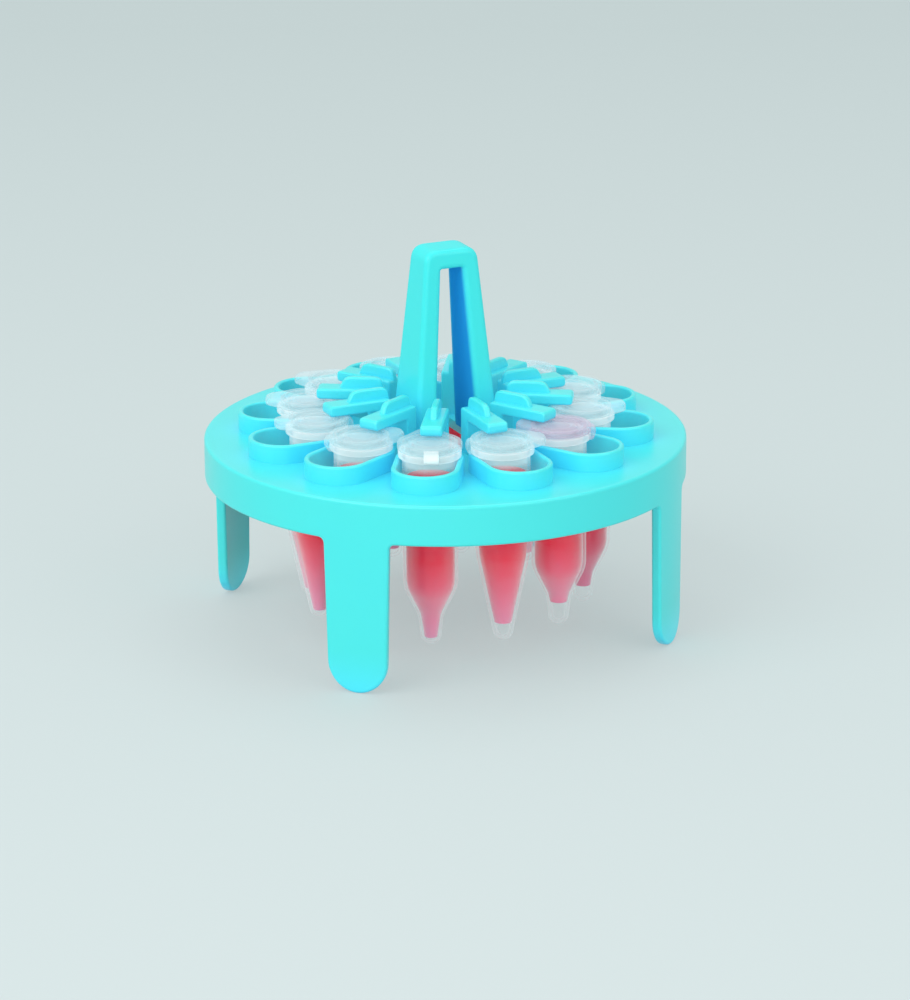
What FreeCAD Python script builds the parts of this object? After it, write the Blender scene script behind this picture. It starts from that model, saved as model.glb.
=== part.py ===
import FreeCAD, Part
import math
import os
import re
import Sketcher

# Floating rack for twelve 1.5 ml microtubes, with the tubes that it carries.
# The rack is one polypropylene moulding: a round deck with a hanging band, twelve oblong tube
# sockets with raised walls, a locking finger over each seat, four legs and a lifting handle.
# A tube goes in at the outer end of its socket and slides inwards, under its finger.
# Frame: millimetres, +Z up, X along the handle's bar; the origin lies on the rack's axis, at the
# level of the legs' ends. Socket 0 is on +X and the others follow anticlockwise.

SIZES = [
    # deck, band and legs
    ("deckDiameter", 94.0, "outside of deck and band"),
    ("deckThickness", 2.0, "deck plate"),
    ("standHeight", 38.0, "top of the deck above the legs' ends"),
    ("bandHeight", 8.0, "hanging band, measured from the top of the deck"),
    ("bandThickness", 2.0, "wall of the band and of the legs"),
    ("legCount", 4.0, "legs, midway between sockets"),
    ("legWidth", 13.4, "leg where it leaves the band"),
    ("legTipWidth", 12.2, "leg where its round end starts"),
    ("legTipFlat", 0.02, "flat left between the two round corners of the leg's end"),
    # sockets
    ("placeCount", 12.0, "sockets round the deck"),
    ("seatRadius", 27.0, "tube axis from the rack's axis"),
    ("entryRadius", 34.2, "centre of the socket's outer end from the rack's axis"),
    ("tubeClearance", 0.2, "gap between tube and socket, all round"),
    ("loopWall", 1.0, "raised wall round a socket"),
    ("loopHeight", 3.6, "raised wall above the deck"),
    # locking fingers
    ("hubRadius", 12.0, "inner face of the posts, from the rack's axis"),
    ("hubLedge", 0.5, "deck between the posts and the open centre"),
    ("postThickness", 3.0, "post, measured along the radius"),
    ("fingerWidth", 4.2, "post and arm"),
    ("fingerReach", 13.0, "arm from the hub's edge to its tip"),
    ("fingerThickness", 2.1, "arm"),
    ("lidClearance", 0.1, "gap between a lid and the arm over it"),
    ("finLength", 8.6, "foot of the fin on top of the arm"),
    ("finHeight", 2.1, "fin above the arm"),
    ("finThickness", 1.3, "fin"),
    ("finDraft", 1.0, "how much further in the fin's outer end is at its top"),
    ("finCorner", 1.5, "rounded top corners of the fin"),
    # lifting handle
    ("handleHeight", 37.6, "top of the bar above the deck"),
    ("handleTopSpan", 10.8, "outside of the handle at its top"),
    ("handleFootSpan", 17.9, "outside of the handle at the deck"),
    ("handleTopDepth", 7.5, "handle, front to back, at its top"),
    ("handleFootDepth", 12.6, "handle, front to back, at the deck"),
    ("gripTopWidth", 4.5, "opening under the bar"),
    ("gripFootWidth", 9.2, "opening at the deck"),
    ("gripCorner", 0.4, "rounded corners of the opening under the bar"),
    ("barThickness", 3.8, "bar above the opening"),
    ("handleCorner", 2.6, "rounded shoulders of the bar"),
    ("handleEdge", 1.2, "rounded edges along the handle's legs and round its opening"),
    # microtubes
    ("tubeDiameter", 10.6, "straight part of the tube"),
    ("tubeLength", 37.6, "underside of the collar to the tip"),
    ("lidDiameter", 12.4, "closed lid, and the collar that rests on the socket's wall"),
    ("collarThickness", 1.4, "collar"),
    ("lidThickness", 1.5, "lid's flange"),
    ("longConeLength", 17.8, "plain tube: cone"),
    ("shoulderConeLength", 5.8, "shouldered tube: short wide cone"),
    ("narrowConeLength", 5.9, "shouldered tube: narrow cone under the wide one"),
    ("narrowConeDiameter", 4.8, "shouldered tube: where the two cones meet"),
    ("tipDiameter", 3.4, "lower end of the cone"),
    ("strapWidth", 2.8, "hinge strap between collar and lid"),
    ("strapReach", 0.8, "hinge strap beyond the lid's edge"),
    ("strapRoot", 0.5, "hinge strap inside the lid's edge"),
    ("tabReach", 2.0, "thumb tab beyond the lid's edge"),
    ("tabWidth", 3.6, "thumb tab at its tip"),
    ("tabCorner", 1.2, "rounded corners of the tab's tip"),
    ("tabRootReach", 3.0, "where the tab starts, from the tube's axis"),
    ("tabRootWidth", 10.4, "thumb tab where it starts"),
]

# sockets, counted from +X, whose tube has a shoulder above a narrow cone; the rest are plain
SHOULDERED = (1, 3, 8, 10, 11)

# degrees by which a tube has turned in its socket; the others have their strap straight outwards
TURNED = {4: 197, 5: 180, 6: 170, 7: -40, 8: 9, 9: -105, 10: 30, 11: 195}

doc = FreeCAD.newDocument("FloatingRack")
sheet = doc.addObject("Spreadsheet::Sheet", "Sizes")
for row, (alias, size, note) in enumerate(SIZES, start=1):
    sheet.set(f"A{row}", note)
    sheet.set(f"B{row}", str(size))
    sheet.setAlias(f"B{row}", alias)
doc.recompute()


ALIASES = {alias for alias, _, _ in SIZES}


def bound(text):
    """The expression with each alias in it written as a reference to the sheet."""
    return re.sub(r"[A-Za-z]\w*", lambda m: "Sizes." + m[0] if m[0] in ALIASES else m[0], text)


def value(text):
    """What an expression of aliases comes to with the sizes in the sheet."""
    return float(sheet.evalExpression(bound(text)))


NEAR = 1e-6      # mm within which two places are the same
SHARP = 25.0     # degrees: edges that fold less than this are left unrounded

# ---- levels and radii that several features share, as expressions ------------------------------

DECK_R = "deckDiameter / 2"
DECK_Z = "standHeight"
RIM_Z = "(standHeight + loopHeight)"                 # top of the socket walls; collars rest here
LID_Z = "(collarThickness + lidThickness)"           # top of a lid above the rim
ARM_LOW = "(standHeight + loopHeight + collarThickness + lidThickness + lidClearance)"
ARM_TOP = f"({ARM_LOW} + fingerThickness)"
HANDLE_Z = "(standHeight + handleHeight)"
SOCKET_R = "(tubeDiameter / 2 + tubeClearance)"
LOOP_R = f"({SOCKET_R} + loopWall)"
HUB_R = "(hubRadius - hubLedge)"
POST_R = "(hubRadius + postThickness)"
TIP_R = "(hubRadius + fingerReach)"
PITCH = "360 / placeCount"


# ---- sketches and features ---------------------------------------------------------------------


def new_body(label):
    body = doc.addObject("PartDesign::Body", label)
    body.Label = label
    return body


def new_sketch(body, name, plane, lift=None, turn=None):
    """A sketch on one of the body's origin planes.

    lift moves it along the plane's normal; turn is in degrees about its own upright axis."""
    sketch = body.newObject("Sketcher::SketchObject", name)
    origin = next(item for item in body.Origin.OriginFeatures if item.Role == plane)
    sketch.AttachmentSupport = [(origin, "")]
    sketch.MapMode = "FlatFace"
    if lift:
        sketch.setExpression("AttachmentOffset.Base.z", bound(lift))
    if turn:
        upright = FreeCAD.Rotation(FreeCAD.Vector(0, 1, 0), value(turn))
        sketch.AttachmentOffset = FreeCAD.Placement(FreeCAD.Vector(), upright)
        sketch.setExpression("AttachmentOffset.Rotation.Angle", bound(turn))
    return sketch


def drive(sketch, kind, *where, by):
    """A dimension whose value follows an expression."""
    index = sketch.addConstraint(Sketcher.Constraint(kind, *where, value(by)))
    sketch.setExpression(f"Constraints[{index}]", bound(by))


def draw_circle(sketch, radius):
    index = sketch.addGeometry(Part.Circle(FreeCAD.Vector(), FreeCAD.Vector(0, 0, 1), value(radius)))
    sketch.addConstraint(Sketcher.Constraint("Coincident", index, 3, -1, 1))
    drive(sketch, "Radius", index, by=radius)


def draw_outline(sketch, corners):
    """A closed outline of straight lines; each corner is x, y and, where it is rounded, a radius."""
    points = [FreeCAD.Vector(value(corner[0]), value(corner[1]), 0) for corner in corners]
    first = sketch.GeometryCount
    count = len(corners)
    for i in range(count):
        sketch.addGeometry(Part.LineSegment(points[i], points[(i + 1) % count]))
    for i in range(count):
        sketch.addConstraint(Sketcher.Constraint("Coincident", first + i, 2, first + (i + 1) % count, 1))
        drive(sketch, "DistanceX", -1, 1, first + i, 1, by=corners[i][0])
        drive(sketch, "DistanceY", -1, 1, first + i, 1, by=corners[i][1])
    for i in range(count):
        if len(corners[i]) == 3:
            sketch.fillet(first + i, 1, value(corners[i][2]), True, True)
            drive(sketch, "Radius", sketch.GeometryCount - 2, by=corners[i][2])


def draw_oblong(sketch, near, far, radius):
    """Two half rounds about points on the sketch's x axis, joined by straight sides."""
    r, x1, x2 = value(radius), value(near), value(far)
    up = FreeCAD.Vector(0, 0, 1)
    quarter = math.pi / 2
    ends = [
        Part.ArcOfCircle(Part.Circle(FreeCAD.Vector(x2, 0, 0), up, r), -quarter, quarter),
        Part.ArcOfCircle(Part.Circle(FreeCAD.Vector(x1, 0, 0), up, r), quarter, 3 * quarter),
    ]
    sides = [
        Part.LineSegment(FreeCAD.Vector(x2, r, 0), FreeCAD.Vector(x1, r, 0)),
        Part.LineSegment(FreeCAD.Vector(x1, -r, 0), FreeCAD.Vector(x2, -r, 0)),
    ]
    outer, top, inner, bottom = (sketch.addGeometry(g) for g in (ends[0], sides[0], ends[1], sides[1]))
    for a, b in ((outer, top), (top, inner), (inner, bottom), (bottom, outer)):
        sketch.addConstraint(Sketcher.Constraint("Tangent", a, 2, b, 1))
    for arc, at in ((outer, far), (inner, near)):
        sketch.addConstraint(Sketcher.Constraint("PointOnObject", arc, 3, -1))
        drive(sketch, "DistanceX", -1, 1, arc, 3, by=at)
    drive(sketch, "Radius", outer, by=radius)


def mirrored(half):
    """A half outline, given from bottom to top on the +x side, and its mirror image."""
    return half + [("-" + corner[0],) + corner[1:] for corner in reversed(half)]


def extrude(kind, body, sketch, length, midplane=False, reverse=False):
    """A Pad or Pocket of the sketch, with its length bound to the sheet."""
    feature = body.newObject("PartDesign::" + kind, sketch.Name.replace("Sketch", kind))
    feature.Profile = sketch
    feature.setExpression("Length", bound(length))
    feature.Midplane = midplane
    feature.Reversed = reverse
    before = body.Shape.Volume if body.Shape.Solids else 0.0
    doc.recompute()
    grown = feature.Shape.Volume - before
    if grown * (1 if kind == "Pad" else -1) <= 0:
        raise RuntimeError(f"{feature.Name} changes nothing")
    return feature


def fold_at(shape, edge):
    """How far the surface turns across an edge, in degrees, at the middle of the edge."""
    middle = edge.valueAt((edge.FirstParameter + edge.LastParameter) / 2)
    normals = [face.normalAt(*face.Surface.parameter(middle))
               for face in shape.ancestorsOfType(edge, Part.Face)]
    return math.degrees(normals[0].getAngle(normals[-1]))


def round_edges(body, name, radius, wanted):
    """A fillet on those edges of the body's last feature for which wanted(shape, edge) holds."""
    base = body.Tip
    chosen = [f"Edge{i}" for i, edge in enumerate(base.Shape.Edges, start=1)
              if wanted(base.Shape, edge)]
    rounding = body.newObject("PartDesign::Fillet", name)
    rounding.Base = (base, chosen)
    rounding.setExpression("Radius", bound(radius))
    doc.recompute()


def repeat(body, features, count):
    """The features copied evenly round the body's Z axis."""
    pattern = body.newObject("PartDesign::PolarPattern", features[0].Name + "Round")
    pattern.Originals = features
    axis = next(item for item in body.Origin.OriginFeatures if item.Role == "Z_Axis")
    pattern.Axis = (axis, [""])
    pattern.Angle = 360
    pattern.setExpression("Occurrences", bound(count))
    body.Tip = pattern
    doc.recompute()
    return pattern


# ---- the rack ----------------------------------------------------------------------------------


def add_band_and_legs(body):
    """Four tongues run out from the axis through a ring; one cut bends them to the band's curve."""
    ring = new_sketch(body, "BandSketch", "XY_Plane", lift=DECK_Z)
    draw_circle(ring, DECK_R)
    extrude("Pad", body, ring, "bandHeight", reverse=True)

    tongue = new_sketch(body, "LegSketch", "YZ_Plane", turn=f"1.5 * {PITCH}")
    round_z = "legTipWidth / 2"
    draw_outline(tongue, mirrored([
        (round_z, "0", "(legTipWidth - legTipFlat) / 2"),
        ("legTipWidth / 2", round_z),
        ("legWidth / 2", "standHeight - bandHeight"),
        ("legWidth / 2", "standHeight - bandHeight / 2"),
    ]))
    leg = extrude("Pad", body, tongue, f"{DECK_R} + bandThickness")
    repeat(body, [leg], "legCount")

    trim = new_sketch(body, "TrimSketch", "XY_Plane", lift=DECK_Z)
    draw_circle(trim, f"{DECK_R} + 2 * bandThickness")
    draw_circle(trim, DECK_R)
    draw_circle(trim, f"{DECK_R} - bandThickness")
    extrude("Pocket", body, trim, "standHeight")


def add_deck(body):
    deck = new_sketch(body, "DeckSketch", "XY_Plane", lift=DECK_Z)
    draw_circle(deck, DECK_R)
    extrude("Pad", body, deck, "deckThickness", reverse=True)


def add_handle(body):
    """A tapering arch: padded, slanted at front and back, opened between its legs and rounded."""
    arch = new_sketch(body, "ArchSketch", "XZ_Plane")
    draw_outline(arch, mirrored([("handleFootSpan / 2", DECK_Z), ("handleTopSpan / 2", HANDLE_Z)]))
    extrude("Pad", body, arch, "handleFootDepth", midplane=True)

    slant = new_sketch(body, "SlantSketch", "YZ_Plane")
    for side in ("", "-"):
        draw_outline(slant, [
            (f"{side}handleFootDepth / 2", DECK_Z), (f"{side}handleFootDepth / 2", HANDLE_Z),
            (f"{side}handleTopDepth / 2", HANDLE_Z),
        ])
    extrude("Pocket", body, slant, "handleFootSpan", midplane=True)

    grip = new_sketch(body, "GripSketch", "XZ_Plane")
    draw_outline(grip, mirrored([
        ("gripFootWidth / 2", DECK_Z),
        ("gripTopWidth / 2", f"{HANDLE_Z} - barThickness", "gripCorner"),
    ]))
    extrude("Pocket", body, grip, "2 * handleFootDepth", midplane=True)

    top, half, deck = value(HANDLE_Z), value("handleTopSpan / 2"), value(DECK_Z)
    round_edges(body, "ShoulderFillet", "handleCorner", lambda shape, edge: (
        abs(edge.CenterOfMass.z - top) < NEAR and abs(abs(edge.CenterOfMass.x) - half) < NEAR))
    round_edges(body, "HandleFillet", "handleEdge", lambda shape, edge: (
        max(v.Z for v in edge.Vertexes) > deck + NEAR and fold_at(shape, edge) > SHARP))


def add_sockets(body):
    """Raised oblong walls, and the oblong holes through them and the deck."""
    wall = new_sketch(body, "LoopSketch", "XY_Plane", lift=DECK_Z)
    draw_oblong(wall, "seatRadius", "entryRadius", LOOP_R)
    repeat(body, [extrude("Pad", body, wall, "loopHeight")], "placeCount")

    hole = new_sketch(body, "SocketSketch", "XY_Plane", lift=RIM_Z)
    draw_oblong(hole, "seatRadius", "entryRadius", SOCKET_R)
    repeat(body, [extrude("Pocket", body, hole, "loopHeight + deckThickness")], "placeCount")


def add_hub_openings(body):
    """The round centre, flat where the handle stands, and a slit in the deck under each arm."""
    slit = new_sketch(body, "SlitSketch", "XY_Plane", lift=DECK_Z)
    draw_outline(slit, [
        (POST_R, "-fingerWidth / 2"), ("seatRadius", "-fingerWidth / 2"),
        ("seatRadius", "fingerWidth / 2"), (POST_R, "fingerWidth / 2"),
    ])
    repeat(body, [extrude("Pocket", body, slit, "deckThickness")], "placeCount")

    centre = new_sketch(body, "CentreSketch", "XY_Plane", lift=DECK_Z)
    x, r = value("gripFootWidth / 2"), value(HUB_R)
    y = (r * r - x * x) ** 0.5
    up = FreeCAD.Vector(0, 0, 1)
    circle = Part.Circle(FreeCAD.Vector(), up, r)
    right_top = circle.parameter(FreeCAD.Vector(x, y, 0))
    left_top = circle.parameter(FreeCAD.Vector(-x, y, 0))
    left_low = circle.parameter(FreeCAD.Vector(-x, -y, 0))
    right_low = circle.parameter(FreeCAD.Vector(x, -y, 0))
    centre.addGeometry(Part.ArcOfCircle(circle, right_top, left_top))
    centre.addGeometry(Part.LineSegment(FreeCAD.Vector(-x, y, 0), FreeCAD.Vector(-x, -y, 0)))
    centre.addGeometry(Part.ArcOfCircle(circle, left_low, right_low))
    centre.addGeometry(Part.LineSegment(FreeCAD.Vector(x, -y, 0), FreeCAD.Vector(x, y, 0)))
    for a in range(4):
        centre.addConstraint(Sketcher.Constraint("Coincident", a, 2, (a + 1) % 4, 1))
    for arc in (0, 2):
        centre.addConstraint(Sketcher.Constraint("Coincident", arc, 3, -1, 1))
        drive(centre, "Radius", arc, by=HUB_R)
    for side, start, sign in ((1, 1, "-"), (3, 1, "")):
        centre.addConstraint(Sketcher.Constraint("Vertical", side))
        drive(centre, "DistanceX", -1, 1, side, start, by=f"{sign}gripFootWidth / 2")
    extrude("Pocket", body, centre, "deckThickness")


def add_fingers(body):
    """A post at the hub's edge, an arm out over the lid, and a fin on top to press it by."""
    finger = new_sketch(body, "FingerSketch", "XZ_Plane")
    low = "standHeight - deckThickness"
    draw_outline(finger, [
        ("hubRadius", low), (POST_R, low), (POST_R, ARM_LOW),
        (TIP_R, ARM_LOW), (TIP_R, ARM_TOP), ("hubRadius", ARM_TOP),
    ])
    arm = extrude("Pad", body, finger, "fingerWidth", midplane=True)

    fin = new_sketch(body, "FinSketch", "XZ_Plane")
    outer = "hubRadius + finLength"
    sunk = f"{ARM_TOP} - fingerThickness / 2"
    draw_outline(fin, [
        ("hubRadius", sunk), (outer, sunk), (outer, ARM_TOP),
        (f"{outer} - finDraft", f"{ARM_TOP} + finHeight", "finCorner"),
        ("hubRadius + finDraft / 2", f"{ARM_TOP} + finHeight", "finCorner"), ("hubRadius", ARM_TOP),
    ])
    blade = extrude("Pad", body, fin, "finThickness", midplane=True)
    repeat(body, [arm, blade], "placeCount")


def make_rack():
    rack = new_body("rack")
    add_band_and_legs(rack)
    add_deck(rack)
    add_handle(rack)
    add_sockets(rack)
    add_hub_openings(rack)
    add_fingers(rack)
    return rack


# ---- the microtubes ----------------------------------------------------------------------------


def tube_profile(shouldered):
    """Half section of a closed tube, filled and with its lid on; z is 0 under the collar."""
    cone = [("tubeDiameter / 2", "longConeLength - tubeLength")]
    if shouldered:
        meet = "narrowConeLength - tubeLength"
        cone = [("tubeDiameter / 2", f"{meet} + shoulderConeLength"), ("narrowConeDiameter / 2", meet)]
    lid = [
        ("0", LID_Z), ("lidDiameter / 2", LID_Z), ("lidDiameter / 2", "0"), ("tubeDiameter / 2", "0"),
    ]
    return lid + cone + [("tipDiameter / 2", "-tubeLength"), ("0", "-tubeLength")]


def make_tube(label, shouldered):
    """A closed tube about its own axis: tube, strap and lid are a single moulding."""
    tube = new_body(label)
    section = new_sketch(tube, "TubeSketch", "XZ_Plane")
    draw_outline(section, tube_profile(shouldered))
    turned = tube.newObject("PartDesign::Revolution", "TubeTurned")
    turned.Profile = section
    turned.ReferenceAxis = (section, ["V_Axis"])
    turned.Angle = 360
    doc.recompute()

    strap = new_sketch(tube, "StrapSketch", "XY_Plane")
    inside, outside = "lidDiameter / 2 - strapRoot", "lidDiameter / 2 + strapReach"
    draw_outline(strap, [
        (inside, "-strapWidth / 2"), (outside, "-strapWidth / 2"),
        (outside, "strapWidth / 2"), (inside, "strapWidth / 2"),
    ])
    extrude("Pad", tube, strap, LID_Z)

    tab = new_sketch(tube, "TabSketch", "XY_Plane", lift="collarThickness")
    tip = "-(lidDiameter / 2 + tabReach)"
    draw_outline(tab, [
        ("-tabRootReach", "tabRootWidth / 2"), (tip, "tabWidth / 2", "tabCorner"),
        (tip, "-tabWidth / 2", "tabCorner"), ("-tabRootReach", "-tabRootWidth / 2"),
    ])
    extrude("Pad", tube, tab, "lidThickness")
    return tube


def seat_tubes(label, tube, places):
    """Loose copies of one tube, each in its seat and turned as it happens to stand, as one group."""
    copies = []
    for place in places:
        copy = doc.addObject("App::Link", f"{tube.Name}_{place:02d}")
        copy.LinkedObject = tube
        copy.LinkTransform = True
        angle = f"{place} * {PITCH}"
        copy.Placement = FreeCAD.Placement(FreeCAD.Vector(), FreeCAD.Rotation(FreeCAD.Vector(0, 0, 1), 1))
        copy.setExpression("Placement.Base.x", bound(f"seatRadius * cos({angle})"))
        copy.setExpression("Placement.Base.y", bound(f"seatRadius * sin({angle})"))
        copy.setExpression("Placement.Base.z", bound(RIM_Z))
        copy.setExpression("Placement.Rotation.Angle", bound(f"{angle} + {TURNED.get(place, 0)}"))
        copies.append(copy)
    group = doc.addObject("Part::Compound", label)
    group.Label = label
    group.Links = copies
    doc.recompute()
    return group


# ---- build, test and write ---------------------------------------------------------------------

sockets = range(round(value("placeCount")))
for_shouldered = [place for place in sockets if place in SHOULDERED]
for_plain = [place for place in sockets if place not in SHOULDERED]
plain_tube = make_tube("plain_microtube", shouldered=False)
shouldered_tube = make_tube("shouldered_microtube", shouldered=True)
nodes = [
    (make_rack(), 1),
    (seat_tubes("plain_microtubes", plain_tube, for_plain), len(for_plain)),
    (seat_tubes("shouldered_microtubes", shouldered_tube, for_shouldered), len(for_shouldered)),
]
doc.recompute()

for item in doc.Objects:
    if "Invalid" in item.State or "Error" in item.State:
        raise RuntimeError(f"{item.Label} failed to build")

os.makedirs("parts", exist_ok=True)
for node, pieces in nodes:
    shape = node.Shape
    if shape.isNull() or not shape.isValid() or len(shape.Solids) != pieces:
        raise RuntimeError(f"{node.Label} is not {pieces} valid solids")
    shape.exportStep(f"parts/{node.Label}.step")
    box = shape.BoundBox
    print(f"{node.Label}: {pieces} solids, {shape.Volume:.0f} mm3, "
          f"x {box.XMin:.2f} to {box.XMax:.2f}, y {box.YMin:.2f} to {box.YMax:.2f}, "
          f"z {box.ZMin:.2f} to {box.ZMax:.2f}")
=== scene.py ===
import math

import bmesh
import bpy
import numpy as np
from mathutils import Matrix, Vector
from mathutils.geometry import delaunay_2d_cdt


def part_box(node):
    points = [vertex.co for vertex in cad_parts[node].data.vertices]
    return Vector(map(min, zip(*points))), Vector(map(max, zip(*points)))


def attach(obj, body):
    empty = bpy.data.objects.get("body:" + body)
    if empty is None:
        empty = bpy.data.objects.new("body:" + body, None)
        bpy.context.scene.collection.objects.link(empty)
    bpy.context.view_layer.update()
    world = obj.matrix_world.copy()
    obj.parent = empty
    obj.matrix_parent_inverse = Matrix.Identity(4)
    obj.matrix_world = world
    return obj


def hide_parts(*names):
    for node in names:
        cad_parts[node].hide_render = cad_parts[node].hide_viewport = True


mm = 0.001

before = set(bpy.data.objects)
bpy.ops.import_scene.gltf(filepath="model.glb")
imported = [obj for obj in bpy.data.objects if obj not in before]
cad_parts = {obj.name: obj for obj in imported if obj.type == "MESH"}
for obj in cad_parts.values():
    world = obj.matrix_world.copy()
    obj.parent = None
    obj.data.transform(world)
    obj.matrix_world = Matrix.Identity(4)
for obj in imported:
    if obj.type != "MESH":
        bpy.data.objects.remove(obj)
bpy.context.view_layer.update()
bpy.context.scene.view_settings.view_transform = "Standard"
print("stage: frame loaded")

view = dict(target=(0, 0, 38.85 * mm), azimuth=-113.7, elevation=17.13, distance=0.880,
            lens=162.4, sensor=36.0, aimRight=0.118, aimDown=0.92, roll=-0.36)


def outwards(azimuth, elevation):
    # the unit vector that points along an azimuth and an elevation in degrees
    az, el = math.radians(azimuth), math.radians(elevation)
    return Vector((math.cos(el) * math.cos(az), math.cos(el) * math.sin(az), math.sin(el)))


def placeCamera(settings):
    # the camera stands on a sphere round the target and is turned a little off it
    away = outwards(settings["azimuth"], settings["elevation"])
    camera = bpy.data.objects.new("camera", bpy.data.cameras.new("camera"))
    bpy.context.scene.collection.objects.link(camera)
    camera.data.sensor_fit = "VERTICAL"
    camera.data.sensor_height = settings["sensor"]
    camera.data.lens = settings["lens"]
    camera.data.clip_end = 20
    turn = (-away).to_track_quat("-Z", "Y").to_matrix()
    right = Matrix.Rotation(math.radians(-settings["aimRight"]), 3, "Y")
    down = Matrix.Rotation(math.radians(-settings["aimDown"]), 3, "X")
    roll = Matrix.Rotation(math.radians(settings["roll"]), 3, "Z")
    camera.matrix_world = (Matrix.Translation(Vector(settings["target"]) + away * settings["distance"])
                           @ (turn @ right @ down @ roll).to_4x4())
    bpy.context.scene.camera = camera


placeCamera(view)
print("stage: camera placed")


class Signal:
    # a socket on which Python's operators build Math nodes
    def __init__(self, recipe, socket):
        self.recipe = recipe
        self.socket = socket

    def math(self, operation, first, second):
        return self.recipe.node("ShaderNodeMath", dict(operation=operation), {0: first, 1: second})

    def __add__(self, other):
        return self.math("ADD", self, other)

    def __radd__(self, other):
        return self.math("ADD", other, self)

    def __sub__(self, other):
        return self.math("SUBTRACT", self, other)

    def __rsub__(self, other):
        return self.math("SUBTRACT", other, self)

    def __mul__(self, other):
        return self.math("MULTIPLY", self, other)

    def __rmul__(self, other):
        return self.math("MULTIPLY", other, self)

    def __pow__(self, other):
        return self.math("POWER", self, other)

    def clamp(self):
        return self.recipe.node("ShaderNodeClamp", {}, {"Value": self})

    def size(self):
        return self.recipe.node("ShaderNodeMath", dict(operation="ABSOLUTE"), {0: self})


class Recipe:
    # one material; node() makes any node: settings first, then sockets, and returns one output
    def __init__(self, name):
        self.material = bpy.data.materials.new(name)
        self.material.use_nodes = True
        self.tree = self.material.node_tree
        self.tree.nodes.clear()
        self.end = self.tree.nodes.new("ShaderNodeOutputMaterial")

    def node(self, kind, settings, values, output=0):
        made = self.tree.nodes.new(kind)
        for key, value in settings.items():
            setattr(made, key, value)
        for key, value in values.items():
            if isinstance(value, Signal):
                self.tree.links.new(value.socket, made.inputs[key])
            else:
                made.inputs[key].default_value = value
        return Signal(self, made.outputs[output])

    def place(self):
        return self.node("ShaderNodeTexCoord", {}, {}, "Object")

    def axis(self, index):
        return self.node("ShaderNodeSeparateXYZ", {}, {"Vector": self.place()}, index)

    def noise(self, scale, detail=3.0, roughness=0.5):
        return self.node("ShaderNodeTexNoise", {}, {"Vector": self.place(), "Scale": scale,
                         "Detail": detail, "Roughness": roughness}, "Fac")

    def blend(self, factor, first, second):
        return self.node("ShaderNodeMix", dict(data_type="RGBA"), {0: factor, 6: first, 7: second}, 2)

    def bump(self, height, strength, distance):
        return self.node("ShaderNodeBump", {}, {"Height": height, "Strength": strength,
                         "Distance": distance}, "Normal")

    def surface(self, values, other=None, share=0.0):
        shader = self.node("ShaderNodeBsdfPrincipled", {}, values)
        if other:
            shader = self.node("ShaderNodeMixShader", {}, {0: share, 1: shader, 2: other})
        self.tree.links.new(shader.socket, self.end.inputs["Surface"])
        return self.material


def roundCorners(points, closed=False, steps=6):
    # each corner (x, y, radius) becomes a curve that leaves and joins its two sides at radius from
    # the corner: (1-t)^2 * start + 2t(1-t) * corner + t^2 * end
    corner = np.array([point[:2] for point in points], float)
    count = len(points)
    t = np.linspace(0, 1, steps)[:, None]
    out = []
    for i in range(count):
        reach = points[i][2] if len(points[i]) > 2 else 0
        if reach == 0 or (not closed and i in (0, count - 1)):
            out.append(corner[i:i + 1])
            continue
        back, ahead = corner[i - 1] - corner[i], corner[(i + 1) % count] - corner[i]
        start = corner[i] + back * min(reach / np.linalg.norm(back), 0.49)
        end = corner[i] + ahead * min(reach / np.linalg.norm(ahead), 0.49)
        out.append((1 - t) ** 2 * start + 2 * t * (1 - t) * corner[i] + t ** 2 * end)
    return np.vstack(out)


def gridFaces(rows, columns, first=0):
    # quads of a grid of rows that each close on themselves
    i = np.arange(rows - 1)[:, None] * columns
    j = np.arange(columns)[None, :]
    k = (j + 1) % columns
    quads = np.stack([i + j, i + k, i + columns + k, i + columns + j], -1)
    return (quads.reshape(-1, 4) + first).tolist()


def arc(radius, start, end, centre=(0.0, 0.0), steps=17):
    # points of a circle between two angles in degrees: centre + radius * (cos a, sin a)
    a = np.radians(np.linspace(start, end, steps))
    return np.stack([centre[0] + radius * np.cos(a), centre[1] + radius * np.sin(a)], 1)


def splitRuns(outline, step):
    # the closed outline with its long sides cut into equal parts no longer than step, and
    # without the slivers that are left where two rounded corners meet
    sliver = 0.04
    length = np.linalg.norm(np.roll(outline, -1, 0) - outline, axis=1)
    outline = outline[length > sliver]
    out = []
    for start, end in zip(outline, np.roll(outline, -1, 0)):
        parts = max(1, int(np.ceil(np.linalg.norm(end - start) / step)))
        out.append(start + (end - start) * np.arange(parts)[:, None] / parts)
    return np.vstack(out)


def inward(outline):
    # the corner's shift that moves both its sides to the left by one: (n0 + n1) * 2 / |n0 + n1|^2
    ahead = np.roll(outline, -1, 0) - outline
    ahead /= np.linalg.norm(ahead, axis=1)[:, None]
    left = np.stack([-ahead[:, 1], ahead[:, 0]], 1)
    both = left + np.roll(left, 1, 0)
    return both * (2 / (both ** 2).sum(1).clip(0.6))[:, None]


def isInside(points, outlines):
    # even-odd rule: a ray to the right from a point inside crosses the outlines an odd number of times
    odd = np.zeros(len(points), bool)
    x, y = points[:, :1], points[:, 1:]
    for a in outlines:
        b = np.roll(a, -1, 0)
        rise = np.where(b[:, 1] == a[:, 1], 1, b[:, 1] - a[:, 1])
        meets = (b[:, 0] - a[:, 0]) * (y - a[:, 1]) / rise + a[:, 0]
        crosses = ((a[:, 1] > y) != (b[:, 1] > y)) & (x < meets)
        odd ^= (crosses.sum(1) % 2).astype(bool)
    return odd


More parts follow.
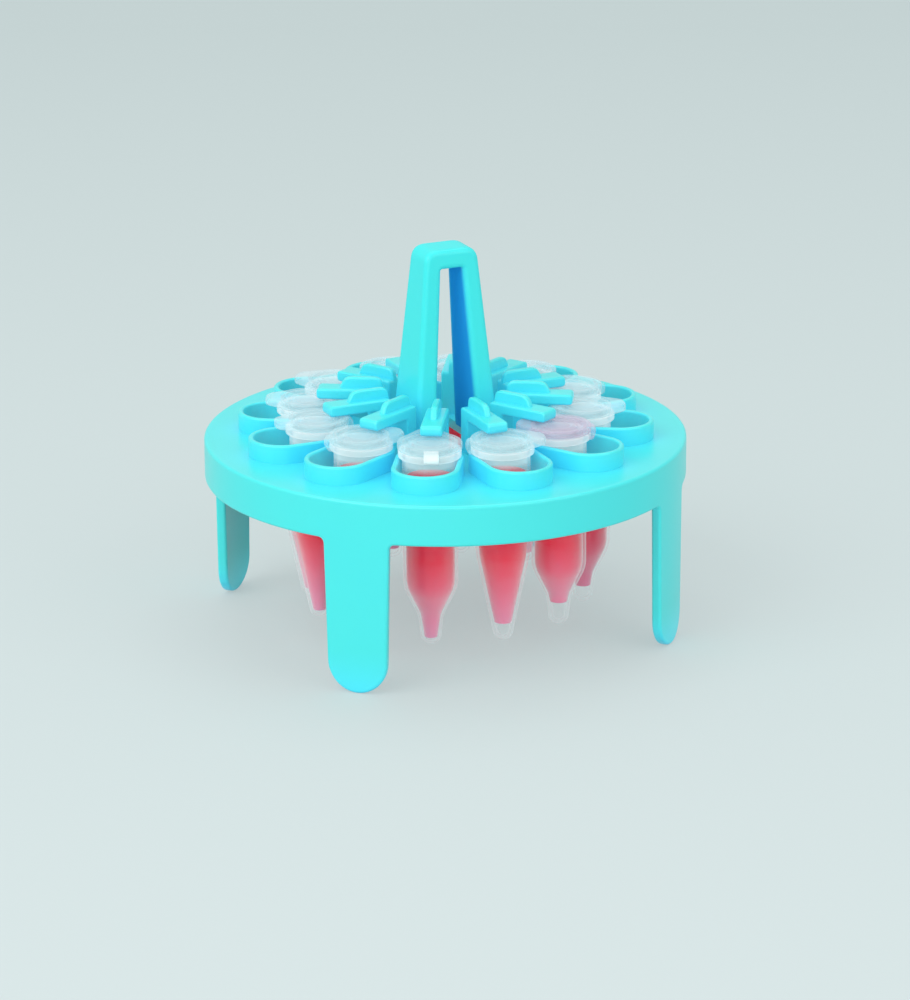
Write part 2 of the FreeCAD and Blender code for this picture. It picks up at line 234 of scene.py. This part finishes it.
def fillBetween(outlines, loose):
    # triangles inside the first outline and outside the others; loose are further points in there
    points = np.vstack(outlines + [loose])
    edges, first = [], 0
    for outline in outlines:
        i = np.arange(len(outline))
        edges += np.stack([first + i, first + (i + 1) % len(outline)], 1).tolist()
        first += len(outline)
    made = delaunay_2d_cdt([Vector(point) for point in points.tolist()], edges, [], 1, 1e-7)
    source = np.array([origin[0] for origin in made[3]])
    triangles = source[np.array(made[2])]
    return triangles[~isInside(points[triangles].mean(1), outlines[1:])]


def plateRows(low, high, rounding, steps=5, support=0.08):
    # inset and level of a plate's rows; its edges follow a quarter circle: inset = e(1 - sin t),
    # depth = e(1 - cos t), and a narrow support row on either side of it keeps the flats flat
    t = np.linspace(0, np.pi / 2, steps)
    rows = []
    for level, side, e in ((low, 1, rounding[0]), (high, -1, rounding[1])):
        inset = np.concatenate([[e + support], e * (1 - np.sin(t)), [0]])
        depth = np.concatenate([[0], e * (1 - np.cos(t)), [e + support]])
        rows.append(np.stack([inset, level + side * depth], 1)[::side])
    return np.vstack(rows)


def plateMesh(outlines, low, high, rounding, loose=None, seam=None):
    # a plate between two levels; of its outlines the outside runs anticlockwise, holes clockwise.
    # seam is a length at which the plane closes on itself: nothing is walled or moved across it
    loose = np.zeros((0, 2)) if loose is None else loose
    rows = plateRows(low, high, rounding)
    points, faces, starts, first = [], [], [], 0
    shifts = [inward(outline) for outline in outlines]
    for outline, shift in zip(outlines, shifts):
        count = len(outline)
        sides = gridFaces(len(rows), count, first)
        if seam:
            onSeam = (outline[:, 0] == 0) | (outline[:, 0] == seam)
            shift[onSeam, 0] = 0
            across = onSeam & np.roll(onSeam, -1)
            sides = [face for i, face in enumerate(sides) if not across[i % count]]
        flat = outline[None] + rows[:, :1, None] * shift[None]
        level = np.broadcast_to(rows[:, 1][:, None, None], flat.shape[:2] + (1,))
        points.append(np.concatenate([flat, level], 2).reshape(-1, 3))
        faces += sides
        starts.append(first)
        first += len(rows) * count
    for row, order in ((0, -1), (len(rows) - 1, 1)):
        ids = [start + row * len(outline) + np.arange(len(outline))
               for start, outline in zip(starts, outlines)]
        ids = np.concatenate(ids + [first + np.arange(len(loose))])
        loops = [outline + rows[row, 0] * shift for outline, shift in zip(outlines, shifts)]
        faces += ids[fillBetween(loops, loose)][:, ::order].tolist()
        points.append(np.column_stack([loose, np.full(len(loose), rows[row, 1])]))
        first += len(loose)
    return np.vstack(points), faces


def turnedMesh(profile, columns=64):
    # a profile from the axis at the top to the axis at the bottom, turned about Z:
    # x = r cos a, y = r sin a, z = z; the two ends on the axis are single points
    rings = profile[1:-1]
    a = np.linspace(0, 2 * np.pi, columns, endpoint=False)
    x = rings[:, :1] * np.cos(a)
    y = rings[:, :1] * np.sin(a)
    z = np.repeat(rings[:, 1:], columns, 1)
    points = np.stack([x, y, z], -1).reshape(-1, 3)
    points = np.vstack([points, [0, 0, profile[0, 1]], [0, 0, profile[-1, 1]]])
    faces = [face[::-1] for face in gridFaces(len(rings), columns)]
    top, bottom = len(points) - 2, len(points) - 1
    last = (len(rings) - 1) * columns
    faces += [(top, j, (j + 1) % columns) for j in range(columns)]
    faces += [(bottom, last + (j + 1) % columns, last + j) for j in range(columns)]
    return points, faces


def upright(shape):
    # a plate drawn in x and z and thick along y: (a, b, h) becomes (a, -h, b)
    points, faces = shape
    return np.stack([points[:, 0], -points[:, 2], points[:, 1]], 1), faces


def turned(shape, degrees, shift=(0.0, 0.0, 0.0)):
    # the shape turned about Z and then moved
    points, faces = shape
    a = math.radians(degrees)
    c, s = math.cos(a), math.sin(a)
    x = c * points[:, 0] - s * points[:, 1]
    y = s * points[:, 0] + c * points[:, 1]
    return np.stack([x, y, points[:, 2]], 1) + np.array(shift), faces


def makePiece(name, node, shapes, material, smoothAngle=35.0):
    # one object from several closed shapes, each points in millimetres and faces
    points, faces, first = [], [], 0
    for shapePoints, shapeFaces in shapes:
        points.append(shapePoints)
        faces += [[v + first for v in face] for face in shapeFaces]
        first += len(shapePoints)
    mesh = bpy.data.meshes.new(name)
    mesh.from_pydata((np.vstack(points) * mm).tolist(), [], faces)
    shell = bmesh.new()
    shell.from_mesh(mesh)
    bmesh.ops.remove_doubles(shell, verts=shell.verts, dist=1e-4 * mm)
    bmesh.ops.recalc_face_normals(shell, faces=shell.faces)
    shell.to_mesh(mesh)
    shell.free()
    mesh.shade_smooth()
    mesh.set_sharp_from_angle(angle=math.radians(smoothAngle))
    mesh.materials.append(material)
    piece = bpy.data.objects.new(name, mesh)
    bpy.context.scene.collection.objects.link(piece)
    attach(piece, "root")
    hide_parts(node)


print("stage: tools ready")

rackLow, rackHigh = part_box("rack")
# lengths are millimetres and angles degrees; seat, entry, hub, post and fingerTip are distances
# from the rack's axis, and hidden is the rounding of edges that nothing shows
rackLook = dict(
    deckR=rackHigh.x / mm, foot=rackLow.z / mm, top=rackHigh.z / mm, deck=38.0, plate=2.0, band=8.0,
    wall=2.0, bandEdge=0.55, legWide=6.7, legR=6.1, legJoin=1.2, legs=(45, 135, 225, 315),
    column=1.5, level=2.5, clear=1.3, hidden=0.1, hair=0.01,
    seat=27.0, entry=34.2, holeR=5.5, loopWall=1.0, loopHeight=3.6, loopEdge=0.40, places=12,
    hub=12.0, post=15.0, centreR=11.5, centreHalf=4.6, fingerTip=25.0, armLow=6.6, armThick=2.1,
    armHalf=2.1, armEdge=0.40, armCorner=0.8, root=1.5, finLong=8.6, finHigh=2.1, finHalf=0.65,
    finEdge=0.38, finCorner=1.5, footHalf=8.95, topHalf=5.4, footDepth=12.6, topDepth=7.5,
    gripTop=2.25, barThick=3.8, handleCorner=2.6, handleEdge=1.0, handleStep=2.0,
    # bright and deep are the slowly drifting colour, and shade is a painted shade for recesses
    bright=(0.058, 0.725, 0.690, 1), deep=(0.052, 0.680, 0.690, 1), shade=(0.030, 0.540, 0.800, 1),
    # the colour and the gain of a painted glow that lifts the shaded parts
    through=(0.018, 0.105, 0.095, 1), paintedGlowGain=3.0,
    # the first colour here is a painted shade for the handle's inner faces; shadeReach is the reach of
    # the painted recess shade
    paintedArchShade=(0.026, 0.400, 0.800, 1), shadeReach=9.0, roughness=0.28, grain=0.05,
    gloss=0.5, coat=0.12, archGloss=0.0, archCoat=0.40)


def insideArch(r, look):
    # 1 on the handle's inner faces, where |x| is at most the opening's half width, which narrows
    # evenly with height and ends under the bar; it fades over 0.25 mm of x, over 1.2 mm of depth
    # at the front and back edges and over 0.4 mm under the bar
    # this mask places a painted shade on those faces and takes their gloss away
    x, y, z = (r.axis(i) for i in range(3))
    rise = (z - look["deck"] * mm) * (1 / ((look["top"] - look["deck"]) * mm))
    opening = look["top"] - look["barThick"] - look["deck"]
    narrowing = (look["centreHalf"] - look["gripTop"]) * (look["top"] - look["deck"]) / opening
    within = ((look["centreHalf"] + 0.3) * mm - narrowing * mm * rise - x.size()) * (1 / (0.25 * mm))
    halfDepth = look["footDepth"] / 2 * mm - (look["footDepth"] - look["topDepth"]) / 2 * mm * rise
    deep = (halfDepth - 0.3 * mm - y.size()) * (1 / (1.2 * mm))
    under = ((look["top"] - look["barThick"] + 0.2) * mm - z) * (1 / (0.4 * mm))
    return within.clamp() * deep.clamp() * under.clamp()


def rackPlastic(name, look, arch=False):
    # colour drifts slowly over the part; a painted shade takes it to a deeper blue where little light
    # gets in: shade + (drifting cyan - shade) * openness^1.2, with openness from ambient occlusion; a
    # fine grain dulls the gloss. In the arch a painted shade darkens the inner faces of the two legs,
    # which also lose their gloss: see insideArch. A painted glow, standing in for light that comes
    # through the plastic, lifts the shaded parts: glow = through * (1 - openness) * gain
    r = Recipe(name)
    drift = r.noise(28.0, 2.0)
    grain = r.noise(2600.0, 4.0, 0.6)
    openness = r.node("ShaderNodeAmbientOcclusion", dict(samples=8),
                      {"Distance": look["shadeReach"] * mm}, "AO")
    # painted shade: where ambient occlusion finds little open space, the colour turns a deeper blue
    colour = r.blend(openness ** 1.2, look["shade"], r.blend(drift, look["bright"], look["deep"]))
    # the share of the painted glow, larger where the painted shade is deeper
    through = ((1 - openness) * look["paintedGlowGain"]).clamp()
    gloss, coat = look["gloss"], look["coat"]
    if arch:
        nested = insideArch(r, look)
        # painted shade: the arch's inner faces take a dark blue colour
        colour = r.blend(nested, colour, look["paintedArchShade"])
        gloss, coat = look["archGloss"], look["archCoat"] - look["archCoat"] * nested
        through = through * (1 - nested)
    # painted glow: the shaded parts give off a faint cyan light of their own
    glow = r.blend(through, (0, 0, 0, 1), look["through"])
    return r.surface({"Base Color": colour, "Roughness": look["roughness"] + 0.10 * grain,
                      "Normal": r.bump(grain, look["grain"], 0.1 * mm),
                      "Emission Color": glow, "Emission Strength": 1.0,
                      "Subsurface Weight": 0.12, "Subsurface Radius": (0.6, 1.2, 1.6),
                      "Subsurface Scale": 0.8 * mm, "Coat Weight": coat, "Coat Roughness": 0.18,
                      "IOR": 1.49, "Specular IOR Level": gloss})


def aroundPlaces(look):
    # the angle of each place in degrees
    return [360 / look["places"] * place for place in range(look["places"])]


def oblong(look, radius, slit=False):
    # two half rounds joined by straight sides; with a slit, a slot runs on from it to the post
    seat = (look["seat"], 0)
    far = arc(radius, -90, 90, (look["entry"], 0), 25)
    if not slit:
        return splitRuns(np.vstack([far, arc(radius, 90, 270, seat, 25)]), 1.0)
    half = look["armHalf"]
    meet = 180 - math.degrees(math.asin(half / radius))
    start = look["post"] - look["hidden"]
    near = np.vstack([arc(radius, 90, meet, seat, 10), [(start, half), (start, -half)],
                      arc(radius, 360 - meet, 270, seat, 10)])
    return splitRuns(np.vstack([far, near]), 1.0)


def deckShapes(look):
    # a disc with a hole and a slit at each place and the open centre, flat where the handle stands
    edge = look["hidden"]
    outside = arc(look["deckR"] - look["wall"] / 2, 0, 360, steps=241)[:-1]
    hole = oblong(look, look["holeR"] + look["loopWall"] / 2, slit=True)
    hole = (np.column_stack([hole, hole[:, 0] * 0]), [])
    holes = [turned(hole, angle)[0][::-1, :2] for angle in aroundPlaces(look)]
    lean = math.degrees(math.acos(look["centreHalf"] / look["centreR"]))
    centre = np.vstack([arc(look["centreR"], lean, 180 - lean),
                        arc(look["centreR"], 180 + lean, 360 - lean)])
    outlines = [outside] + holes + [splitRuns(centre, 1.0)[::-1]]
    return [plateMesh(outlines, look["deck"] - look["plate"], look["deck"] - look["hair"], (edge, edge))]


def bandShape(look):
    # drawn unrolled, as length round the band against height, then bent: x = h cos(s/R), y = h sin(s/R)
    r = look["deckR"]
    around = 2 * math.pi * r
    low, high = look["deck"] - look["band"], look["deck"]
    line = [np.array([(0.0, low)])]
    for angle in look["legs"]:
        s = math.radians(angle) * r
        join = roundCorners([(s - 12, low), (s - look["legWide"], low, look["legJoin"]),
                             (s - look["legR"], look["foot"] + look["legR"])])
        line += [join[1:-1], arc(look["legR"], 180, 360, (s, look["foot"] + look["legR"]), 25),
                 (join[1:-1] * (-1, 1) + (2 * s, 0))[::-1]]
    line.append(np.array([(around, low), (around, high), (0.0, high)]))
    outline = splitRuns(np.vstack(line), look["column"])
    s, z = np.meshgrid(np.arange(look["column"], around, look["column"]),
                       np.arange(look["foot"] + 2, high, look["level"]))
    loose = np.stack([s.ravel(), z.ravel()], 1)
    clear = np.linalg.norm(loose[:, None] - outline[None], axis=2).min(1) > look["clear"]
    loose = loose[clear & isInside(loose, [outline])]
    edge = look["bandEdge"]
    points, faces = plateMesh([outline], r - look["wall"], r, (edge, edge), loose, around)
    a = points[:, 0] / r
    return np.stack([points[:, 2] * np.cos(a), points[:, 2] * np.sin(a), points[:, 1]], 1), faces


def loopShapes(look):
    # the raised wall of one socket, copied round
    outside = oblong(look, look["holeR"] + look["loopWall"])
    inside = oblong(look, look["holeR"])[::-1]
    low, high = look["deck"] - look["plate"], look["deck"] + look["loopHeight"]
    wall = plateMesh([outside, inside], low, high, (look["hidden"], look["loopEdge"]))
    return [turned(wall, angle) for angle in aroundPlaces(look)]


def fingerShapes(look):
    # a post with an arm at right angles, and an upright fin along the arm, copied round
    low = look["deck"] + look["armLow"]
    high = low + look["armThick"]
    start = look["deck"] - look["root"]
    hub, post, tip, corner = look["hub"], look["post"], look["fingerTip"], look["armCorner"]
    arm = [(hub, start), (post, start), (post, low, 0.5), (tip, low, corner), (tip, high, corner),
           (hub, high, corner)]
    outer, crest, corner = hub + look["finLong"], high + look["finHigh"], look["finCorner"]
    fin = [(hub + 0.05, low + 0.5), (outer, low + 0.5), (outer, high), (outer - 1, crest, corner),
           (hub + 0.5, crest, corner), (hub + 0.05, high)]
    shapes = []
    for points, half, edge in ((arm, look["armHalf"], look["armEdge"]),
                               (fin, look["finHalf"], look["finEdge"])):
        outline = splitRuns(roundCorners(points, closed=True), 0.9)
        blade = upright(plateMesh([outline], -half, half, (edge, edge)))
        shapes += [turned(blade, angle) for angle in aroundPlaces(look)]
    return shapes


def handleShape(look):
    # an arch drawn in x and z; its depth shrinks evenly with height:
    # y = +-(depth(z) / 2 - drop), where drop is the distance from the face that it belongs to
    low, high = look["deck"] - 0.5, look["top"]
    half = look["footHalf"]
    right = [(look["centreHalf"], low), (half, low), (look["topHalf"], high, look["handleCorner"])]
    under = high - look["barThick"]
    left = [(-look["topHalf"], high, look["handleCorner"]), (-half, low), (-look["centreHalf"], low),
            (-look["gripTop"], under, 0.4), (look["gripTop"], under, 0.4)]
    outline = splitRuns(roundCorners(right + left, closed=True, steps=8), look["handleStep"])
    deepest = look["footDepth"] / 2
    edge = look["handleEdge"]
    points, faces = plateMesh([outline], -deepest, deepest, (edge, edge))
    rise = (points[:, 1] - look["deck"]) / (high - look["deck"])
    depth = deepest + rise * (look["topDepth"] - look["footDepth"]) / 2
    level = np.sign(points[:, 2]) * (depth - (deepest - np.abs(points[:, 2])))
    return upright((np.stack([points[:, 0], points[:, 1], level], 1), faces))


def makeRack(look):
    plain = rackPlastic("rackPlastic", look)
    nested = rackPlastic("rackPlasticArch", look, arch=True)
    for name, shapes, plastic in (
            ("rackDeck", deckShapes(look), plain), ("rackBand", [bandShape(look)], plain),
            ("rackLoops", loopShapes(look), plain), ("rackFingers", fingerShapes(look), plain),
            ("rackHandle", [handleShape(look)], nested)):
        makePiece(name, "rack", shapes, plastic)


makeRack(rackLook)
print("stage: rack made")

plainLow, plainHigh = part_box("plain_microtubes")
# places count anticlockwise from +X; turned is each tube's angle about its own axis, and gap the
# height that its liquid leaves free in the tip
tubeLook = dict(
    places=12, shouldered=(1, 3, 8, 10, 11), seat=plainHigh.x / mm - 7.0, lidTop=plainHigh.z / mm,
    tip=plainLow.z / mm, turned={4: 197, 5: 180, 6: 170, 7: -40, 8: 9, 9: -105, 10: 30, 11: 195},
    bodyR=5.3, collarR=6.05, lidR=6.2, wall=0.62, collar=1.4, flange=1.5, plug=3.4,
    cone=17.8, shoulder=5.8, narrow=5.9, narrowR=2.4, tipR=1.95,
    strapHalf=1.4, strapOut=7.0, tabOut=8.2, tabHalf=1.8, tabCorner=1.2, tabMeets=138.0,
    fill=-4.2, gap={8: 0.7, 9: 2.9, 10: 4.0, 11: 2.8, 0: 1.2, 5: 0.6, 6: 0.8, 4: 2.6, 7: 1.0},
    # the list after tinted names the places whose strap carries a painted glint
    usualGap=1.4, tinted=(10,), paintedGlintStraps=(8,), pale=(0.60, 0.25, 0.38, 1),
    # redGlow is the strength of the liquid's painted glow
    deepRed=(0.69, 0.011, 0.044, 1), redGlow=0.28,
    plastics=dict(
        tubeWall=dict(colour=(0.90, 0.96, 0.96, 1), cover=0.0, rim=0.75, roughness=0.16, cloud=0.03,
                      fogFrom=39.0, fog=0.32, glow=0.15),
        lidFrosted=dict(colour=(0.60, 0.80, 0.84, 1), cover=0.16, rim=0.45, roughness=0.30),
        lidTinted=dict(colour=(0.62, 0.54, 0.66, 1), cover=0.22, rim=0.45, roughness=0.30),
        # this strap is painted near white and nearly opaque, with its top cleared: a painted glint
        strapPaintedGlint=dict(colour=(0.93, 0.98, 0.97, 1), cover=0.85, rim=0.15, roughness=0.30, cloud=0.0,
                        fogFrom=42.5, fog=-0.60)))


def tubePlastic(name, colour, cover, rim, roughness, cloud=0.10, fogFrom=0.0, fog=0.0, glow=0.10):
    # milky plastic: alpha = cover + rim * facing^2 + cloud * haze + fog above fogFrom, where facing
    # goes from 0, seen square on, to 1, seen edge on, and the fog comes in over 1.5 mm of height;
    # a fog below 0 clears the plastic instead. It glows a little: a painted glow that stands in for the
    # light that it lets through
    r = Recipe(name)
    haze = r.noise(420.0, 3.0)
    edge = r.node("ShaderNodeLayerWeight", {}, {"Blend": 0.35}, "Facing")
    rise = ((r.axis(2) - fogFrom * mm) * (1 / (1.5 * mm))).clamp()
    alpha = (cover + rim * edge ** 2.0 + cloud * haze + fog * rise).clamp()
    # the emission below is a painted glow
    return r.surface({"Base Color": colour, "Roughness": roughness + 0.08 * haze, "Alpha": alpha,
                      "Normal": r.bump(haze, 0.08, 0.1 * mm), "IOR": 1.49,
                      "Emission Color": colour, "Emission Strength": glow,
                      "Specular IOR Level": 0.7, "Coat Weight": 0.3, "Coat Roughness": 0.08})


def sampleRed(look):
    # deep red where the tube is wide, pinker towards the tip where the liquid is thin:
    # how deep = 2.3 * height above the tip / tube length, with a slow swirl added
    r = Recipe("sampleRed")
    span = (look["lidTop"] - look["tip"]) * mm
    rise = ((r.axis(2) - look["tip"] * mm) * (2.3 / span)).clamp()
    swirl = r.noise(120.0, 2.0)
    colour = r.blend((rise + 0.12 * swirl - 0.06).clamp(), look["pale"], look["deepRed"])
    # the emission is a painted glow: the liquid lights itself, standing in for light that shines through
    # it
    return r.surface({"Base Color": colour, "Roughness": 0.12 + 0.06 * swirl, "IOR": 1.36,
                      "Emission Color": colour, "Emission Strength": look["redGlow"],
                      "Subsurface Weight": 0.35, "Subsurface Radius": (3.0, 0.4, 0.5),
                      "Subsurface Scale": 1.0 * mm, "Coat Weight": 0.15, "Coat Roughness": 0.05})


def outsideProfile(look, shouldered, inset=0.0):
    # from the straight part down to the tip, as (r, z, rounding) with z 0 under the collar; the tip
    # is a quarter ellipse: r = tip cos t, z = low + 0.85 tip (1 - sin t)
    length = look["lidTop"] - look["tip"] - look["collar"] - look["flange"]
    r, low = look["bodyR"] - inset, -length + inset
    if shouldered:
        upper = -length + look["narrow"] + look["shoulder"]
        meet = -length + look["narrow"]
        line = [(r, upper, 1.6), (look["narrowR"] - inset * 0.75, meet + 0.15 * inset, 1.0)]
    else:
        line = [(r, -length + look["cone"], 2.2)]
    tip = max(look["tipR"] - inset, 0.55)
    t = np.linspace(0, np.pi / 2, 8)
    end = np.stack([tip * np.cos(t), low + 0.85 * tip * (1 - np.sin(t))], 1)
    end[-1, 0] = 0
    return line + end.tolist()


def tubeShape(look, place):
    # collar and wall in one profile: up the inside, over the collar and down the outside
    shouldered = place in look["shouldered"]
    inside = outsideProfile(look, shouldered, look["wall"])
    mouth = look["bodyR"] - look["wall"]
    rim = look["collar"] - 0.12
    ring = [(mouth, rim, 0.2), (look["collarR"], rim, 0.25), (look["collarR"], 0, 0.2),
            (look["bodyR"], -0.02, 0.1)]
    outside = outsideProfile(look, shouldered)
    return turnedMesh(roundCorners([(0, inside[-1][1])] + inside[-2::-1] + ring + outside))


def lidShapes(look):
    # a flange that runs out into the thumb tab, and a dished disc with its hollow plug
    low, high = look["collar"] + 0.05, look["collar"] + look["flange"]
    meets = look["tabMeets"]
    out, half, corner = look["tabOut"], look["tabHalf"], look["tabCorner"]
    tip = roundCorners([arc(look["lidR"], 0, meets)[-1], (-out, half, corner), (-out, -half, corner),
                        arc(look["lidR"], 0, -meets)[-1]])
    outside = splitRuns(np.vstack([arc(look["lidR"], -meets, meets, steps=57), tip[1:-1]]), 1.0)
    flange = plateMesh([outside, arc(5.2, 0, -360, steps=49)[:-1]], low, high, (0.3, 0.35))
    plugR = look["bodyR"] - look["wall"] - 0.05
    deep = high - look["plug"]
    line = [(0, high - 0.42), (2.2, high - 0.42, 0.2), (2.5, high - 0.25, 0.2), (3.3, high - 0.25, 0.2),
            (3.6, high - 0.5, 0.2), (4.3, high - 0.5, 0.2), (4.7, high - 0.12, 0.2), (5.35, high - 0.12),
            (5.35, low + 0.1), (plugR, low + 0.1, 0.15), (plugR, deep, 0.3), (plugR - 0.8, deep, 0.3),
            (plugR - 0.9, high - 1.3, 0.4), (0, high - 1.3)]
    return [flange, turnedMesh(roundCorners(line), 48)]


def strapShape(look):
    # the folded hinge between collar and lid, as it lies once the lid is shut
    high, out = look["collar"] + look["flange"], look["strapOut"]
    strap = [(5.6, 0.25), (out - 0.6, 0.1, 0.5), (out, 0.7, 0.5), (out, high - 0.8, 0.6),
             (out - 0.7, high - 0.1, 0.5), (5.6, high - 0.25)]
    half = look["strapHalf"]
    return upright(plateMesh([splitRuns(roundCorners(strap, closed=True), 0.8)], -half, half, (0.2, 0.2)))


def sampleShape(look, place):
    # the liquid: a hair inside the wall, hollowed a little at the top and level at the bottom
    line = outsideProfile(look, place in look["shouldered"], look["wall"] + 0.03)
    bottom = line[-1][1] + look["gap"].get(place, look["usualGap"])
    fill, topR = look["fill"], line[0][0]
    side = roundCorners([(topR, fill)] + line)
    lastR = np.interp(bottom, side[::-1, 1], side[::-1, 0])
    dish = np.array([(0, fill - 0.5), (topR * 0.5, fill - 0.45), (topR * 0.85, fill - 0.25)])
    floor = np.array([(lastR, bottom), (lastR * 0.6, bottom + 0.12), (0, bottom + 0.18)])
    return turnedMesh(np.vstack([dish, side[side[:, 1] > bottom], floor]))


def seated(shape, place, look):
    # turned about its own axis, then put in its seat and lifted to the rim
    rim = look["lidTop"] - look["collar"] - look["flange"]
    own = turned(shape, look["turned"].get(place, 0), (look["seat"], 0, rim))
    return turned(own, 360 / look["places"] * place)


def makeTubes(look):
    plastic = {name: tubePlastic(name, **settings) for name, settings in look["plastics"].items()}
    red = sampleRed(look)
    for place in range(look["places"]):
        node = "shouldered_microtubes" if place in look["shouldered"] else "plain_microtubes"
        lid = plastic["lidTinted" if place in look["tinted"] else "lidFrosted"]
        # the listed straps carry the painted glint; the others are made like their lid
        strap = plastic["strapPaintedGlint"] if place in look["paintedGlintStraps"] else lid
        for name, shapes, material in (("tube", [tubeShape(look, place)], plastic["tubeWall"]),
                                       ("lid", lidShapes(look), lid),
                                       ("strap", [strapShape(look)], strap),
                                       ("sample", [sampleShape(look, place)], red)):
            shapes = [seated(shape, place, look) for shape in shapes]
            makePiece(f"{name}{place:02d}", node, shapes, material)


makeTubes(tubeLook)
print("stage: microtubes made")

studio = dict(
    floorColour=(0.52, 0.60, 0.595, 1), floorHalf=6.0, far=(0.560, 0.650, 0.645, 1),
    near=(0.720, 0.805, 0.805, 1), farAt=-0.55, run=0.78, glow=0.55,
    sky=(0.93, 0.97, 1.0, 1), skyStrength=0.75, lampHeight=0.04,
    lamps=dict(keyLamp=dict(turn=-50, elevation=38, distance=1.1, size=0.9, power=6),
               fillLamp=dict(turn=50, elevation=30, distance=1.2, size=0.9, power=3),
               frontLamp=dict(turn=-5, elevation=10, distance=1.3, size=0.9, power=4),
               topLamp=dict(turn=170, elevation=70, distance=1.2, size=0.9, power=3)))


def makeFloor(settings):
    # matt paper; a slow fibre pattern varies its roughness. To the camera a share of it glows by
    # itself, so that the shadow stays soft: glow * (camera + glossy + transmission), with a colour
    # that goes from far to near evenly along the view
    r = Recipe("paperFloor")
    fibre = r.noise(90.0, 3.0)
    towards = outwards(view["azimuth"], 0)
    along = r.axis(0) * towards.x + r.axis(1) * towards.y
    near = ((along - settings["farAt"]) * (1 / settings["run"])).clamp()
    colour = r.blend(near, settings["far"], settings["near"])
    shade = r.node("ShaderNodeEmission", {}, {"Color": colour})
    camera, glossy, through = (r.node("ShaderNodeLightPath", {}, {}, f"Is {ray} Ray")
                               for ray in ("Camera", "Glossy", "Transmission"))
    share = (camera + glossy + through).clamp() * settings["glow"]
    r.surface({"Base Color": settings["floorColour"], "Roughness": 0.75 + 0.1 * fibre}, shade, share)
    half = settings["floorHalf"]
    mesh = bpy.data.meshes.new("floor")
    mesh.from_pydata([(-half, -half, 0), (half, -half, 0), (half, half, 0), (-half, half, 0)], [],
                     [(0, 1, 2, 3)])
    mesh.materials.append(r.material)
    floor = bpy.data.objects.new("floor", mesh)
    bpy.context.scene.collection.objects.link(floor)


def addLamp(name, turn, elevation, distance, size, power):
    # a square soft box that faces the middle of the rack; turn is its angle from the view
    away = outwards(view["azimuth"] + turn, elevation)
    lamp = bpy.data.objects.new(name, bpy.data.lights.new(name, "AREA"))
    bpy.context.scene.collection.objects.link(lamp)
    lamp.data.size = size
    lamp.data.energy = power
    lamp.location = Vector((0, 0, studio["lampHeight"])) + away * distance
    lamp.rotation_euler = (-away).to_track_quat("-Z", "Y").to_euler()


def makeWorld(strength, colour):
    world = bpy.data.worlds.new("world")
    bpy.context.scene.world = world
    world.use_nodes = True
    sky = world.node_tree.nodes["Background"]
    sky.inputs["Color"].default_value = colour
    sky.inputs["Strength"].default_value = strength


makeFloor(studio)
for lampName, lampSettings in studio["lamps"].items():
    addLamp(lampName, **lampSettings)
makeWorld(studio["skyStrength"], studio["sky"])
print("stage: floor and lamps made")
